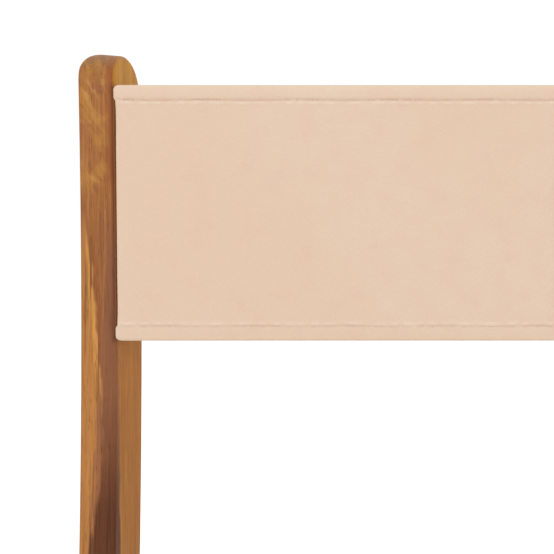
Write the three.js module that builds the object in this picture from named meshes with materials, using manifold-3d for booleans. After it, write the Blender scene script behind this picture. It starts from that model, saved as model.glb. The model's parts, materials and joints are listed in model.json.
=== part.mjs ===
// A folding chair in oiled hardwood with a stretched cloth back and a cloth sling seat.
// Millimetres. +Z is up, the chair faces -Y, and +X is to the right of someone in front of it.
// The posts run from the front feet to the top of the back. The leg frame crosses them at the
// leg pivots, and the seat turns up about the seat pivots, which are higher on the posts.
import * as THREE from "three";
import { mergeVertices } from "three/addons/utils/BufferGeometryUtils.js";
import Module from "manifold-3d";

// Clearances
const seatedGap = 0.3; // between pieces that touch
const turningGap = 1.5; // between boards that turn past each other

// Posts
const postInnerX = 214;
const postThickness = 26;
const postDepth = 50;
const postLowerLean = 33; // degrees back from upright
const postBackLean = 18.5; // above the bend
const postTopLean = 13.5; // at the top
const bendStartHeight = 400;
const bendLength = 150;
const upperLength = 350;

// Leg frame
const legThickness = 24;
const legDepth = 40;
const legLean = 35; // degrees forward from upright
const legPivotHeight = 225;
const supportBarReach = 195; // from the leg pivot to the bar that carries the seat
const supportBarRadius = 12;
const legTopMargin = 20; // leg left above the bar's centre
const socketDepth = 12;
const rearStretcherHeight = 118;
const rearStretcherDepth = 18;
const rearStretcherWidth = 40;

// Seat
const seatPivotHeight = 430;
const seatRailThickness = 22;
const seatRailWidth = 38;
const seatReach = 362; // from the seat pivot to the front end of the rails
const crossRailRadius = 11;
const crossRailSetback = 19; // from the front end of the seat rails
const rearRailGap = 8; // from the seat pivot's nut
const cleatLength = 54;
const cleatRise = 6; // of the cleat's underside towards its rear end

// Boards screwed across the posts
const boardThickness = 18;
const boardWidth = 45;
const frontStretcherHeight = 112;
const backRailHeight = 462;
const boardScrewSpread = 22;

// Cloth
const clothThickness = 2;
const backClothDrop = 30; // from the top of the posts to the cloth
const backClothHeight = 180;
const seatClothGap = 8; // from the seat's cross rails
const seatSag = 14;
const clothReturn = 24; // turned in along the frame
const battenThickness = 7;
const battenInset = 4; // from the face of the cloth
const battenEndMargin = 3;
const battenScrewMargin = 22;
const screwsPerBatten = 3;

// Hardware
const boltRadius = 4;
const boltHeadRadius = 9;
const boltHeadThickness = 3.2;
const boltHeadFlatRadius = 6.3; // of the flat middle of its slightly domed top
const boltHeadEdge = 1.1;
const boltSocketRadius = 2.9; // to the corners of the six-sided socket
const boltSocketDepth = 1.8;
const washerRadius = 10;
const spacerRadius = 8;
const nutRadius = 6.5;
const nutLength = 9;
const nutWall = 2;
const screwRadius = 2;
const screwHeadRadius = 4.2;
const screwHeadDepth = 3;
const screwPointLength = 3;
const screwSocketRadius = 1.8;
const screwSocketDepth = 1.5;
const cutterOverrun = 1; // of a cutter past the face that it breaks
const battenScrewLength = 24;
const boardScrewLength = 40;
const cleatScrewBite = 16; // into the seat rail
const glideRadius = 9;
const glideThickness = 4;
const glideChamfer = 1;
const glideStemRadius = 3;
const glideStemLength = 12;

// Smoothness
const roundSteps = 20;
const bendSteps = 8;
const sagSteps = 16;
const screwSides = 10;
const hardwareSides = 24;
const socketSides = 6;
const dowelSides = 24;

const wasm = await Module();
wasm.setup();

const woodFinish = { color: 0xa56d3c, roughness: 0.5, metalness: 0 };
const clothFinish = { color: 0xe4c9b1, roughness: 0.95, metalness: 0 };
const steelFinish = { color: 0xb9bbbd, roughness: 0.3, metalness: 1 };
const nylonFinish = { color: 0x2b2a29, roughness: 0.6, metalness: 0 };

const radians = THREE.MathUtils.degToRad;
const footHeight = glideThickness + seatedGap;
const sides = [
  { name: "left", sign: -1 },
  { name: "right", sign: 1 },
];

// ---- Solids ----

function solidFrom(geometry) {
  const bare = geometry.clone();
  bare.deleteAttribute("normal");
  bare.deleteAttribute("uv");
  const merged = mergeVertices(bare, 1e-4);
  return new wasm.Manifold(
    new wasm.Mesh({
      numProp: 3,
      vertProperties: new Float32Array(merged.attributes.position.array),
      triVerts: new Uint32Array(merged.index.array),
    }),
  );
}

function geometryFrom(solid) {
  const { vertProperties, triVerts } = solid.getMesh();
  const geometry = new THREE.BufferGeometry();
  geometry.setAttribute("position", new THREE.BufferAttribute(vertProperties, 3));
  geometry.setIndex(new THREE.BufferAttribute(triVerts, 1));
  const loose = geometry.toNonIndexed();
  loose.computeVertexNormals();
  return loose;
}

function cut(geometry, cutters) {
  let solid = solidFrom(geometry);
  for (const cutter of cutters) solid = solid.subtract(solidFrom(cutter));
  return geometryFrom(solid);
}

// A turned solid about the line that runs from a point in a direction.
function turned(profile, point, direction, segments) {
  const outline = profile.map(([radius, along]) => new THREE.Vector2(radius, along));
  const geometry = new THREE.LatheGeometry(outline, segments);
  const turn = new THREE.Quaternion().setFromUnitVectors(
    new THREE.Vector3(0, 1, 0),
    direction.clone().normalize(),
  );
  geometry.applyQuaternion(turn);
  geometry.translate(point.x, point.y, point.z);
  return geometry;
}

function rod(radius, point, direction, length, segments) {
  const profile = [
    [0, 0],
    [radius, 0],
    [radius, length],
    [0, length],
  ];
  return turned(profile, point, direction, segments);
}

// A board cut to a side outline of [y, z] points, standing across X.
function board(outline, lowX, thickness) {
  const shape = new THREE.Shape(outline.map(([y, z]) => new THREE.Vector2(y, z)));
  const geometry = new THREE.ExtrudeGeometry(shape, {
    depth: thickness,
    bevelEnabled: false,
  });
  geometry.applyMatrix4(
    new THREE.Matrix4().makeBasis(
      new THREE.Vector3(0, 1, 0),
      new THREE.Vector3(0, 0, 1),
      new THREE.Vector3(1, 0, 0),
    ),
  );
  geometry.translate(lowX, 0, 0);
  return geometry;
}

function arcPoints(centre, radius, startAngle, endAngle) {
  const points = [];
  for (let step = 0; step <= roundSteps; step += 1) {
    const angle = startAngle + ((endAngle - startAngle) * step) / roundSteps;
    points.push([
      centre[0] + radius * Math.cos(angle),
      centre[1] + radius * Math.sin(angle),
    ]);
  }
  return points;
}

function addPiece(group, name, geometry, finish) {
  const piece = new THREE.Mesh(geometry, new THREE.MeshStandardMaterial(finish));
  piece.name = name;
  group.add(piece);
  return piece;
}

// The lower X of a board whose near face is a distance from the middle, on one side.
const lowX = (sign, nearX, thickness) => (sign > 0 ? nearX : -nearX - thickness);
const acrossX = new THREE.Vector3(1, 0, 0);

// The six-sided socket in a head whose top is at a point, for driving it in a direction.
function drivingSocket(point, direction, radius, depth) {
  const start = point.clone().addScaledVector(direction, -cutterOverrun);
  return rod(radius, start, direction, depth + cutterOverrun, socketSides);
}

// ---- Countersunk screws ----

function screwProfile(length, gap) {
  const radius = screwRadius + gap;
  const head = screwHeadRadius + gap;
  return [
    [0, -gap],
    [head, -gap],
    [radius, screwHeadDepth],
    [radius, length - screwPointLength],
    [0, length + gap],
  ];
}

const screwCutter = (point, direction, length) =>
  turned(screwProfile(length, seatedGap), point, direction, screwSides);

function addScrew(group, name, point, direction, length) {
  // The head sits just under the face of the wood.
  const sunk = point.clone().addScaledVector(direction, seatedGap);
  const body = turned(screwProfile(length - seatedGap, 0), sunk, direction, screwSides);
  const socket = drivingSocket(sunk, direction, screwSocketRadius, screwSocketDepth);
  addPiece(group, name, cut(body, [socket]), steelFinish);
}

// The cutter starts outside the wood, so that the countersink breaks its face.
function drillScrew(point, direction, length) {
  const deep = screwCutter(point.clone().addScaledVector(direction, seatedGap), direction, length);
  const mouth = rod(
    screwHeadRadius + seatedGap,
    point.clone().addScaledVector(direction, -cutterOverrun),
    direction,
    cutterOverrun + seatedGap,
    screwSides,
  );
  return [deep, mouth];
}

// ---- The line of a post ----

// The distance along the centre line from the foot to the start of the bend.
const straightLength = (bendStartHeight - footHeight) / Math.cos(radians(postLowerLean));
const postRuns = [
  { length: straightLength, from: postLowerLean, to: postLowerLean },
  { length: bendLength, from: postLowerLean, to: postBackLean },
  { length: upperLength, from: postBackLean, to: postTopLean },
];
const postLength = postRuns.reduce((sum, run) => sum + run.length, 0);

// The centre line at a distance from the foot, each run being a straight or an arc.
function postAt(distance) {
  let y = 0;
  let z = footHeight;
  let left = distance;
  let lean = radians(postLowerLean);
  for (const run of postRuns) {
    const start = radians(run.from);
    const length = Math.min(left, run.length);
    const rate = (radians(run.to) - start) / run.length;
    lean = start + rate * length;
    if (rate === 0) {
      y += length * Math.sin(start);
      z += length * Math.cos(start);
    } else {
      y += (Math.cos(start) - Math.cos(lean)) / rate;
      z += (Math.sin(lean) - Math.sin(start)) / rate;
    }
    left -= length;
    if (left <= 0) break;
  }
  return { y, z, lean };
}

// A point off the centre line, with positive offsets to the front.
function postOffset(distance, offset) {
  const { y, z, lean } = postAt(distance);
  return [y - offset * Math.cos(lean), z + offset * Math.sin(lean)];
}

// The distance along the centre line at which it reaches a height.
function postDistanceAt(height) {
  let low = 0;
  let high = postLength;
  while (high - low > 1e-6) {
    const middle = (low + high) / 2;
    if (postAt(middle).z < height) low = middle;
    else high = middle;
  }
  return low;
}

function postOutline() {
  const half = postDepth / 2;
  const footHalf = half / Math.cos(radians(postLowerLean));
  const stations = [straightLength];
  for (const [start, length] of [
    [straightLength, bendLength],
    [straightLength + bendLength, upperLength],
  ])
    for (let step = 1; step <= bendSteps; step += 1)
      stations.push(start + (length * step) / bendSteps);
  const top = postAt(postLength);
  const round = arcPoints([top.y, top.z], half, -top.lean, Math.PI - top.lean);
  const rear = stations.slice(0, -1).map((distance) => postOffset(distance, -half));
  const front = stations.slice(0, -1).map((distance) => postOffset(distance, half));
  return [[-footHalf, footHeight], [footHalf, footHeight], ...rear, ...round, ...front.reverse()];
}

// ---- Groups ----

const chair = new THREE.Group();

const legPivot = postAt(postDistanceAt(legPivotHeight));
const legFrame = new THREE.Group();
legFrame.position.set(0, legPivot.y, legPivot.z);
legFrame.rotation.x = radians(legLean);
chair.add(legFrame);

const seatPivot = postAt(postDistanceAt(seatPivotHeight));
const seat = new THREE.Group();
seat.position.set(0, seatPivot.y, seatPivot.z);
chair.add(seat);

// The back cloth lies in the plane through the posts' front faces at its two hems.
const backTopDistance = postLength + postDepth / 2 - backClothDrop;
const backTop = postOffset(backTopDistance, postDepth / 2);
const backBottom = postOffset(backTopDistance - backClothHeight, postDepth / 2);
const backPanel = new THREE.Group();
backPanel.position.set(0, backBottom[0], backBottom[1]);
backPanel.rotation.x = -Math.atan2(backTop[0] - backBottom[0], backTop[1] - backBottom[1]);
chair.add(backPanel);

// The seat cloth lies level with the tops of the rails, and its length runs to the rear.
const seatPanel = new THREE.Group();
const seatFrontRailY = -seatReach + crossRailSetback;
const seatRearRailY = -nutRadius - rearRailGap - crossRailRadius;
const seatClothStart = seatFrontRailY + crossRailRadius + seatClothGap;
const seatClothLength = seatRearRailY - crossRailRadius - seatClothGap - seatClothStart;
seatPanel.position.set(0, seatClothStart, seatRailWidth / 2);
seatPanel.rotation.x = -Math.PI / 2;
seat.add(seatPanel);
chair.updateMatrixWorld(true);

// ---- Cloth panels ----

// Cloth stretched between two side members, turned in along them and held by screwed battens.
// In the panel's group the cloth faces -Y and rises from z = 0. The screws' places are returned.
function addClothPanel(group, prefix, halfWidth, height, sag, frameOf) {
  const outer = halfWidth - seatedGap;
  const dip = (x) => sag * (1 - (x / outer) ** 2);
  const steps = sag > 0 ? sagSteps : 1;
  const front = [];
  for (let step = 0; step <= steps; step += 1) {
    const x = -outer + (2 * outer * step) / steps;
    front.push([x, dip(x)]);
  }
  const inner = outer - clothThickness;
  const back = [];
  for (let step = 0; step <= steps; step += 1) {
    const x = -inner + (2 * inner * step) / steps;
    back.push([x, dip(x) + clothThickness]);
  }
  const outline = [
    ...front,
    [outer, clothReturn],
    [inner, clothReturn],
    ...back.reverse(),
    [-inner, clothReturn],
    [-outer, clothReturn],
  ];
  const shape = new THREE.Shape(outline.map(([x, y]) => new THREE.Vector2(x, y)));
  const cloth = new THREE.ExtrudeGeometry(shape, { depth: height, bevelEnabled: false });

  const battenOuterX = inner - seatedGap;
  const battenInnerX = battenOuterX - battenThickness;
  const battenDepth = clothReturn - battenInset;
  const battenMiddleY = battenInset + battenDepth / 2;
  const battenLength = height - 2 * battenEndMargin;
  const clothCutters = [];
  const screws = [];
  for (const { name, sign } of sides) {
    const outward = acrossX.clone().multiplyScalar(sign);
    const battenCutters = [];
    for (let index = 0; index < screwsPerBatten; index += 1) {
      const run = height - 2 * battenScrewMargin;
      const z = battenScrewMargin + (run * index) / (screwsPerBatten - 1);
      const point = new THREE.Vector3(sign * battenInnerX, battenMiddleY, z);
      battenCutters.push(...drillScrew(point, outward, battenScrewLength));
      clothCutters.push(...drillScrew(point, outward, battenScrewLength));
      addScrew(group, `${prefix}_screw_${name}_${index + 1}`, point, outward, battenScrewLength);
      screws.push({ sign, point: group.localToWorld(point.clone()) });
    }
    const batten = new THREE.BoxGeometry(battenThickness, battenDepth, battenLength);
    batten.translate(
      (sign * (battenInnerX + battenOuterX)) / 2,
      battenMiddleY,
      battenEndMargin + battenLength / 2,
    );
    addPiece(group, `${prefix}_batten_${name}`, cut(batten, battenCutters), woodFinish);
  }
  addPiece(group, `${prefix}_fabric`, cut(cloth, clothCutters), clothFinish);
  return screws.map(({ sign, point }) => ({ sign, point: frameOf.worldToLocal(point) }));
}

// The holes that a panel's screws need in the side member of one side.
const sideHoles = (screws, side) =>
  screws
    .filter(({ sign }) => sign === side.sign)
    .flatMap(({ point }) =>
      drillScrew(point, acrossX.clone().multiplyScalar(side.sign), battenScrewLength),
    );

// ---- Boards across the posts ----

// A board on the front (+1) or rear (-1) faces of the posts, and the holes its screws need.
function addPostBoard(name, height, facing) {
  const distance = postDistanceAt(height);
  const { y, z, lean } = postAt(distance);
  const group = new THREE.Group();
  group.position.set(0, y, z);
  group.rotation.x = -lean;
  chair.add(group);
  group.updateMatrixWorld(true);

  const nearY = postDepth / 2 + seatedGap;
  const farY = nearY + boardThickness;
  const inward = new THREE.Vector3(0, facing, 0);
  const width = 2 * (postInnerX + postThickness);
  const boardCutters = [];
  const postCutters = { left: [], right: [] };
  for (const side of sides)
    for (const [index, rise] of [boardScrewSpread / 2, -boardScrewSpread / 2].entries()) {
      const x = side.sign * (postInnerX + postThickness / 2);
      const point = new THREE.Vector3(x, -facing * farY, rise);
      const cutters = drillScrew(point, inward, boardScrewLength);
      boardCutters.push(...cutters);
      for (const cutter of cutters)
        postCutters[side.name].push(cutter.clone().applyMatrix4(group.matrixWorld));
      addScrew(group, `${name}_screw_${side.name}_${index + 1}`, point, inward, boardScrewLength);
    }
  const slab = new THREE.BoxGeometry(width, boardThickness, boardWidth);
  slab.translate(0, (-facing * (nearY + farY)) / 2, 0);
  addPiece(group, name, cut(slab, boardCutters), woodFinish);
  return postCutters;
}

// ---- Glides ----

// A glide under a foot whose cut end is at footHeight, and the hole for its stem.
function addGlide(name, x, y) {
  const up = new THREE.Vector3(0, 0, 1);
  const profile = (gap) => [
    [0, 0],
    [glideRadius - glideChamfer, 0],
    [glideRadius, glideChamfer],
    [glideRadius, glideThickness],
    [glideStemRadius + gap, glideThickness],
    [glideStemRadius + gap, glideThickness + glideStemLength + gap],
    [0, glideThickness + glideStemLength + gap],
  ];
  const floorPoint = new THREE.Vector3(x, y, 0);
  addPiece(chair, name, turned(profile(0), floorPoint, up, hardwareSides), nylonFinish);
  return turned(profile(seatedGap), floorPoint, up, hardwareSides);
}

// ---- Posts ----

const backScrews = addClothPanel(
  backPanel,
  "back",
  postInnerX,
  backClothHeight,
  0,
  chair,
);
const stretcherHoles = addPostBoard("front_stretcher", frontStretcherHeight, 1);
const backRailHoles = addPostBoard("back_rail", backRailHeight, -1);
const boltHoleRadius = boltRadius + seatedGap;

for (const side of sides) {
  const post = board(postOutline(), lowX(side.sign, postInnerX, postThickness), postThickness);
  const middleX = side.sign * (postInnerX + postThickness / 2);
  const boltHoles = [legPivot, seatPivot].map(({ y, z }) => {
    const start = new THREE.Vector3(middleX - postThickness, y, z);
    return rod(boltHoleRadius, start, acrossX, 2 * postThickness, hardwareSides);
  });
  const cutters = [
    ...boltHoles,
    ...sideHoles(backScrews, side),
    ...stretcherHoles[side.name],
    ...backRailHoles[side.name],
    addGlide(`front_glide_${side.name}`, middleX, 0),
  ];
  addPiece(chair, `post_${side.name}`, cut(post, cutters), woodFinish);
}

// ---- Leg frame ----

const legOuterX = postInnerX - turningGap;
const legInnerX = legOuterX - legThickness;
const legFootHalf = legDepth / 2;
const legLocalFoot = (y) =>
  (footHeight - legPivot.z - y * Math.sin(radians(legLean))) / Math.cos(radians(legLean));

const stretcherLocal = legFrame.worldToLocal(
  new THREE.Vector3(
    0,
    legPivot.y + (legPivot.z - rearStretcherHeight) * Math.tan(radians(legLean)),
    rearStretcherHeight,
  ),
);

// Each cross piece runs this far past the inner faces of the legs, into their sockets.
const crossEndX = legInnerX + socketDepth;
const supportBar = (radius, endX) =>
  rod(radius, new THREE.Vector3(-endX, 0, supportBarReach), acrossX, 2 * endX, dowelSides);
const rearStretcher = (gap, endX) => {
  const slab = new THREE.BoxGeometry(
    2 * endX,
    rearStretcherDepth + 2 * gap,
    rearStretcherWidth + 2 * gap,
  );
  return slab.translate(0, 0, stretcherLocal.z);
};

for (const { name, sign } of sides) {
  const topZ = supportBarReach + legTopMargin - legFootHalf;
  const outline = [
    [-legFootHalf, legLocalFoot(-legFootHalf)],
    [legFootHalf, legLocalFoot(legFootHalf)],
    ...arcPoints([0, topZ], legFootHalf, 0, Math.PI),
  ];
  const leg = board(outline, lowX(sign, legInnerX, legThickness), legThickness);
  const middleX = sign * (legInnerX + legThickness / 2);
  const boltStart = new THREE.Vector3(middleX - legThickness, 0, 0);
  const footY = legPivot.y - legLocalFoot(0) * Math.sin(radians(legLean));
  const stem = addGlide(`rear_glide_${name}`, middleX, footY);
  const cutters = [
    rod(boltHoleRadius, boltStart, acrossX, 2 * legThickness, hardwareSides),
    supportBar(supportBarRadius + seatedGap, crossEndX + seatedGap),
    rearStretcher(seatedGap, crossEndX + seatedGap),
    stem.applyMatrix4(legFrame.matrixWorld.clone().invert()),
  ];
  addPiece(legFrame, `leg_${name}`, cut(leg, cutters), woodFinish);
}
addPiece(legFrame, "seat_support_bar", supportBar(supportBarRadius, crossEndX), woodFinish);
addPiece(legFrame, "rear_stretcher", rearStretcher(0, crossEndX), woodFinish);

// ---- Seat ----

const seatRailOuterX = legInnerX - turningGap;
const seatRailInnerX = seatRailOuterX - seatRailThickness;
const seatScrews = addClothPanel(
  seatPanel,
  "seat",
  seatRailInnerX,
  seatClothLength,
  seatSag,
  seat,
);
const seatCrossEndX = seatRailInnerX + socketDepth;
const seatCrossRails = [
  { name: "seat_front_rail", y: seatFrontRailY },
  { name: "seat_rear_rail", y: seatRearRailY },
];
const crossRail = (y, radius, endX) =>
  rod(radius, new THREE.Vector3(-endX, y, 0), acrossX, 2 * endX, dowelSides);

// The bar that carries the seat, in the seat's own frame.
const barInSeat = seat.worldToLocal(
  legFrame.localToWorld(new THREE.Vector3(0, 0, supportBarReach)),
);

const cleatTopZ = -seatRailWidth / 2 - seatedGap;
const cleatScrewLength = cleatTopZ - barInSeat.z + cleatScrewBite;

// A cleat hangs under a rail: it rests on the bar, and its lug stands in front of the bar, so
// that the bar can't slide forward. Its rear is open, for the bar to leave as the chair folds.
function cleatOutline() {
  const hollow = supportBarRadius + seatedGap;
  const frontY = barInSeat.y - cleatLength / 2;
  const rearY = barInSeat.y + cleatLength / 2;
  const lugZ = barInSeat.z;
  const leaveAngle = Math.PI / 4;
  const notch = arcPoints([barInSeat.y, barInSeat.z], hollow, Math.PI, leaveAngle);
  const [, leaveZ] = notch[notch.length - 1];
  const rearZ = Math.min(leaveZ + cleatRise, cleatTopZ - seatedGap);
  return [[frontY, cleatTopZ], [frontY, lugZ], ...notch, [rearY, rearZ], [rearY, cleatTopZ]];
}

for (const side of sides) {
  const { name, sign } = side;
  const half = seatRailWidth / 2;
  const low = lowX(sign, seatRailInnerX, seatRailThickness);
  const outline = [
    ...arcPoints([0, 0], half, -Math.PI / 2, Math.PI / 2),
    ...arcPoints([-seatReach + half, 0], half, Math.PI / 2, (3 * Math.PI) / 2),
  ];
  const middleX = sign * (seatRailInnerX + seatRailThickness / 2);
  const boltStart = new THREE.Vector3(middleX - seatRailThickness, 0, 0);
  const up = new THREE.Vector3(0, 0, 1);
  const cleat = board(cleatOutline(), low, seatRailThickness);
  const cleatScrewY = barInSeat.y - cleatLength / 2 + 2 * screwHeadRadius;
  const cleatScrewPoint = new THREE.Vector3(middleX, cleatScrewY, barInSeat.z);
  const cleatHoles = drillScrew(cleatScrewPoint, up, cleatScrewLength);
  addScrew(seat, `seat_cleat_screw_${name}`, cleatScrewPoint, up, cleatScrewLength);
  addPiece(seat, `seat_cleat_${name}`, cut(cleat, cleatHoles), woodFinish);
  const cutters = [
    rod(boltHoleRadius, boltStart, acrossX, 2 * seatRailThickness, hardwareSides),
    ...seatCrossRails.map(({ y }) =>
      crossRail(y, crossRailRadius + seatedGap, seatCrossEndX + seatedGap),
    ),
    ...sideHoles(seatScrews, side),
    ...cleatHoles,
  ];
  const rail = board(outline, low, seatRailThickness);
  addPiece(seat, `seat_rail_${name}`, cut(rail, cutters), woodFinish);
}
for (const { name, y } of seatCrossRails)
  addPiece(seat, name, crossRail(y, crossRailRadius, seatCrossEndX), woodFinish);

// ---- Pivot hardware ----

// A bolt from the outer face of a post to past the inner face of the piece that it carries.
function addPivot(name, pivot, innerX, filler) {
  for (const { name: sideName, sign } of sides) {
    const inward = acrossX.clone().multiplyScalar(-sign);
    const at = (x) => new THREE.Vector3(sign * x, pivot.y, pivot.z);
    const headX = postInnerX + postThickness + seatedGap;
    const shankLength = headX - innerX + nutLength - nutWall - 2 * seatedGap;
    const boltProfile = [
      [0, -boltHeadThickness],
      [boltHeadFlatRadius, -boltHeadThickness],
      [boltHeadRadius, -boltHeadEdge],
      [boltHeadRadius, 0],
      [boltRadius, 0],
      [boltRadius, shankLength],
      [0, shankLength],
    ];
    const bolt = turned(boltProfile, at(headX), inward, hardwareSides);
    const headTop = at(headX + boltHeadThickness);
    const socket = drivingSocket(headTop, inward, boltSocketRadius, boltSocketDepth);
    addPiece(chair, `${name}_bolt_${sideName}`, cut(bolt, [socket]), steelFinish);

    const boreRadius = boltRadius + seatedGap;
    const fillerProfile = [
      [boreRadius, 0],
      [filler.radius, 0],
      [filler.radius, filler.length],
      [boreRadius, filler.length],
      [boreRadius, 0],
    ];
    const start = at(postInnerX - seatedGap);
    const ring = turned(fillerProfile, start, inward, hardwareSides);
    addPiece(chair, `${name}_${filler.name}_${sideName}`, ring, filler.finish);

    const nutProfile = [
      [boreRadius, 0],
      [nutRadius, 0],
      [nutRadius, nutLength - nutWall],
      [nutRadius - nutWall, nutLength],
      [0, nutLength],
      [0, nutLength - nutWall],
      [boreRadius, nutLength - nutWall],
      [boreRadius, 0],
    ];
    const nut = turned(nutProfile, at(innerX - seatedGap), inward, hardwareSides);
    addPiece(chair, `${name}_nut_${sideName}`, nut, steelFinish);
  }
}

addPivot("leg_pivot", legPivot, legInnerX, {
  name: "washer",
  radius: washerRadius,
  length: turningGap - 2 * seatedGap,
  finish: nylonFinish,
});
addPivot("seat_pivot", seatPivot, seatRailInnerX, {
  name: "spacer",
  radius: spacerRadius,
  length: postInnerX - seatRailOuterX - 2 * seatedGap,
  finish: steelFinish,
});

// The origin is on the floor, under the middle of the whole chair.
const extent = new THREE.Box3().setFromObject(chair);
chair.position.y = -(extent.min.y + extent.max.y) / 2;

export default chair;
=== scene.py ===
import json
import math
import random

import bpy
from mathutils import Matrix, Vector


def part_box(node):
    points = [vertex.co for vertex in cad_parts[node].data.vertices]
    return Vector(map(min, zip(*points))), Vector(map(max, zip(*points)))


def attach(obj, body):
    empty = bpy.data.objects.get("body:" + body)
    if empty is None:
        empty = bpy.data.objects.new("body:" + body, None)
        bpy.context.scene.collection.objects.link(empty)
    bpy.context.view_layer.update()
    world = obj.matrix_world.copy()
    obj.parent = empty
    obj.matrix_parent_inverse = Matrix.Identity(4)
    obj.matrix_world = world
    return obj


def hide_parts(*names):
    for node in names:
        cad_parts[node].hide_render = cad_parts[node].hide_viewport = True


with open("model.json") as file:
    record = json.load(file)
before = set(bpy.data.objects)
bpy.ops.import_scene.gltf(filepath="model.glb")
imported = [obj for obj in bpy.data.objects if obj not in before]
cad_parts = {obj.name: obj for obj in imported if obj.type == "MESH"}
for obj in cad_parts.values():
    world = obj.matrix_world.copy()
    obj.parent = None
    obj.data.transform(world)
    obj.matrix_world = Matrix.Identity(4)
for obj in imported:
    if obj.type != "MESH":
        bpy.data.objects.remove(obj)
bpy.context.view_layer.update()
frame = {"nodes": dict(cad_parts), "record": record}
nodes = frame["nodes"]
scene = bpy.context.scene
scene.view_settings.view_transform = "Standard"

# ---- The plane of the back cloth ----
# The cloth is stretched between the two posts, so the CAD sheet gives the plane of the back:
# its foremost corner is the bottom edge and its highest corner the top edge.

back_corners = [vertex.co.copy() for vertex in nodes["back_fabric"].data.vertices]
back_foot = min(back_corners, key=lambda corner: corner.y)
back_head = max(back_corners, key=lambda corner: corner.z)
back_foot = Vector((0, back_foot.y, back_foot.z))
back_up = Vector((0, back_head.y, back_head.z)) - back_foot
back_height = back_up.length
back_up.normalize()
back_inward = Vector((0, back_up.z, -back_up.y))
back_turn = Matrix((Vector((1, 0, 0)), back_inward, back_up)).transposed().to_4x4()
back_place = Matrix.Translation(back_foot) @ back_turn


# ---- Camera ----
# It looks square on to the posts at the lower edge of the back cloth, from close in front of
# the upper corner of the left post.

eye_distance = 0.3885
eye_side = -0.050
eye_rise = 0.0449  # above the lower edge of the cloth
eye_tip = math.radians(1.29)  # the posts lean back more there than the cloth does
lens_mm = 35.4
sensor_mm = 36.0
sideways_shift = -0.1253
nearest_seen = 0.01

camera_data = bpy.data.cameras.new("camera")
camera_data.lens = lens_mm
camera_data.sensor_width = sensor_mm
camera_data.shift_x = sideways_shift
camera_data.clip_start = nearest_seen
camera = bpy.data.objects.new("camera", camera_data)
eye_turn = Matrix.Rotation(-eye_tip, 3, "X")
eye_up = eye_turn @ back_up
eye_ahead = eye_turn @ back_inward
eye_middle = back_foot + Vector((eye_side, 0, 0))
camera.location = eye_middle + eye_up * eye_rise - eye_ahead * eye_distance
camera.rotation_euler = eye_ahead.to_track_quat("-Z", "Y").to_euler()
scene.collection.objects.link(camera)
scene.camera = camera

# ---- Floor, world and lights ----
# A pale floor in a white room, with one broad lamp in front on the left, a weaker one in front
# on the right, and one behind.

floor_span = 30.0
floor_tone = 0.985
floor_roughness = 0.9
room_strength = 1.03

bpy.ops.object.select_all(action="DESELECT")
bpy.ops.mesh.primitive_plane_add(size=floor_span)
floor = bpy.context.object
floor.name = "floor"
floor_paint = bpy.data.materials.new("floor_paint")
floor_paint.use_nodes = True
floor_shader = floor_paint.node_tree.nodes["Principled BSDF"]
floor_shader.inputs["Base Color"].default_value = (floor_tone, floor_tone, floor_tone, 1)
floor_shader.inputs["Roughness"].default_value = floor_roughness
floor.data.materials.append(floor_paint)

room = bpy.data.worlds.new("white_room")
room.use_nodes = True
room_light = room.node_tree.nodes["Background"]
room_light.inputs["Color"].default_value = (1.0, 1.0, 1.0, 1)
room_light.inputs["Strength"].default_value = room_strength
scene.world = room


def add_lamp(name, place, aim, width, watts):
    """A round lamp at a place, turned to shine at its aim."""
    lamp_data = bpy.data.lights.new(name, "AREA")
    lamp_data.shape = "DISK"
    lamp_data.size = width
    lamp_data.energy = watts
    lamp = bpy.data.objects.new(name, lamp_data)
    lamp.location = place
    lamp.rotation_euler = (Vector(aim) - Vector(place)).to_track_quat("-Z", "Y").to_euler()
    scene.collection.objects.link(lamp)


add_lamp("key_lamp", place=(-1.6, -2.2, 2.4), aim=(0, 0, 0.6), width=1.6, watts=16)
add_lamp("fill_lamp", place=(2.4, -1.4, 1.6), aim=(0, 0, 0.5), width=1.8, watts=5)
add_lamp("rear_lamp", place=(0.6, 2.6, 2.2), aim=(0, 0, 0.5), width=1.8, watts=8)

# ---- Oiled hardwood ----
# Every wooden piece is sawn from oiled acacia planks: golden sapwood, brown heart in long
# streaks, fine open pores along the grain. The oil leaves a low sheen.


def srgb(red, green, blue):
    """A colour from its usual 0 to 255 values, in the linear values that a shader takes."""
    linear = []
    for value in (red / 255, green / 255, blue / 255):
        linear.append(value / 12.92 if value <= 0.04045 else ((value + 0.055) / 1.055) ** 2.4)
    return (*linear, 1)


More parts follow.
